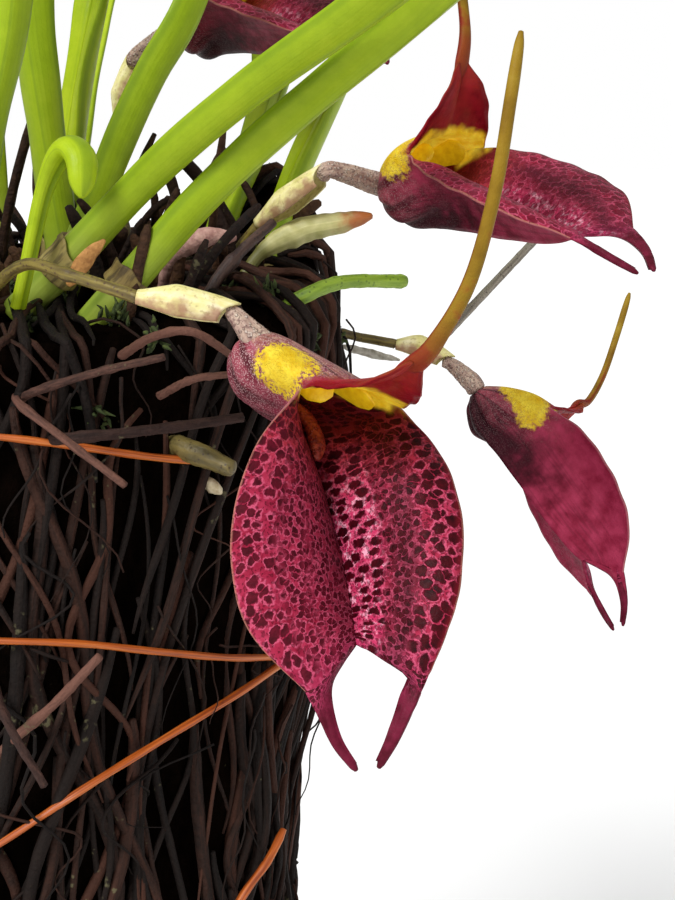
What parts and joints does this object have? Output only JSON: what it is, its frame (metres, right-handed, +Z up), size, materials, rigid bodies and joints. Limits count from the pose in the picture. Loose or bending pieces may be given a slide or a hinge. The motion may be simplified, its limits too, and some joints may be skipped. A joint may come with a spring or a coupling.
{
  "type": "potted orchid",
  "caption": "Potted masdevallia orchid in flower: narrow green leaves and spotted, three-tailed crimson flowers on a tall root ball in a terracotta pot.",
  "frame": {"origin": "middle of the pot's flat base, where the pot stands", "axes": "+Z up, -Y towards the side with the largest flower, +X to the right seen from there"},
  "size_m": [0.1552, 0.17, 0.2548],
  "materials": {
    "terracotta": "matte",
    "bark_mix": "matte",
    "roots": "matte",
    "leaf": "satin",
    "flower_stalk": "satin",
    "bract": "matte",
    "ovary": "matte",
    "calyx": "satin",
    "lip": "satin",
    "dry_stem": "matte",
    "green_stem": "satin",
    "pine_needle": "satin"
  },
  "bodies": {
    "root": {"pot": "terracotta", "potting_mix": "bark_mix", "leaf_01": "leaf", "leaf_02": "leaf", "leaf_03": "leaf", "leaf_04": "leaf", "leaf_05": "leaf", "leaf_06": "leaf", "leaf_07": "leaf", "leaf_08": "leaf", "leaf_09": "leaf", "leaf_10": "leaf", "leaf_11": "leaf", "leaf_12": "leaf", "leaf_13": "leaf", "leaf_14": "leaf", "leaf_15": "leaf", "leaf_16": "leaf", "leaf_17": "leaf", "flower_1_stalk": "flower_stalk", "flower_1_bract": "bract", "flower_1_ovary": "ovary", "flower_1_perianth": "calyx", "flower_1_lip": "lip", "flower_2_stalk": "flower_stalk", "flower_2_bract": "bract", "flower_2_ovary": "ovary", "flower_2_perianth": "calyx", "flower_2_lip": "lip", "flower_3_stalk": "flower_stalk", "flower_3_bract": "bract", "flower_3_ovary": "ovary", "flower_3_perianth": "calyx", "flower_3_lip": "lip", "flower_4_stalk": "flower_stalk", "flower_4_bract": "bract", "flower_4_ovary": "ovary", "flower_4_perianth": "calyx", "flower_4_lip": "lip", "old_stalk_1": "dry_stem", "old_stalk_2": "dry_stem", "bud": "green_stem", "cut_stem": "green_stem", "dry_bract": "dry_stem", "needle_pair": "pine_needle", "needle_1": "pine_needle", "needle_2": "pine_needle", "root_ball": "roots"}
  },
  "joints": []
}
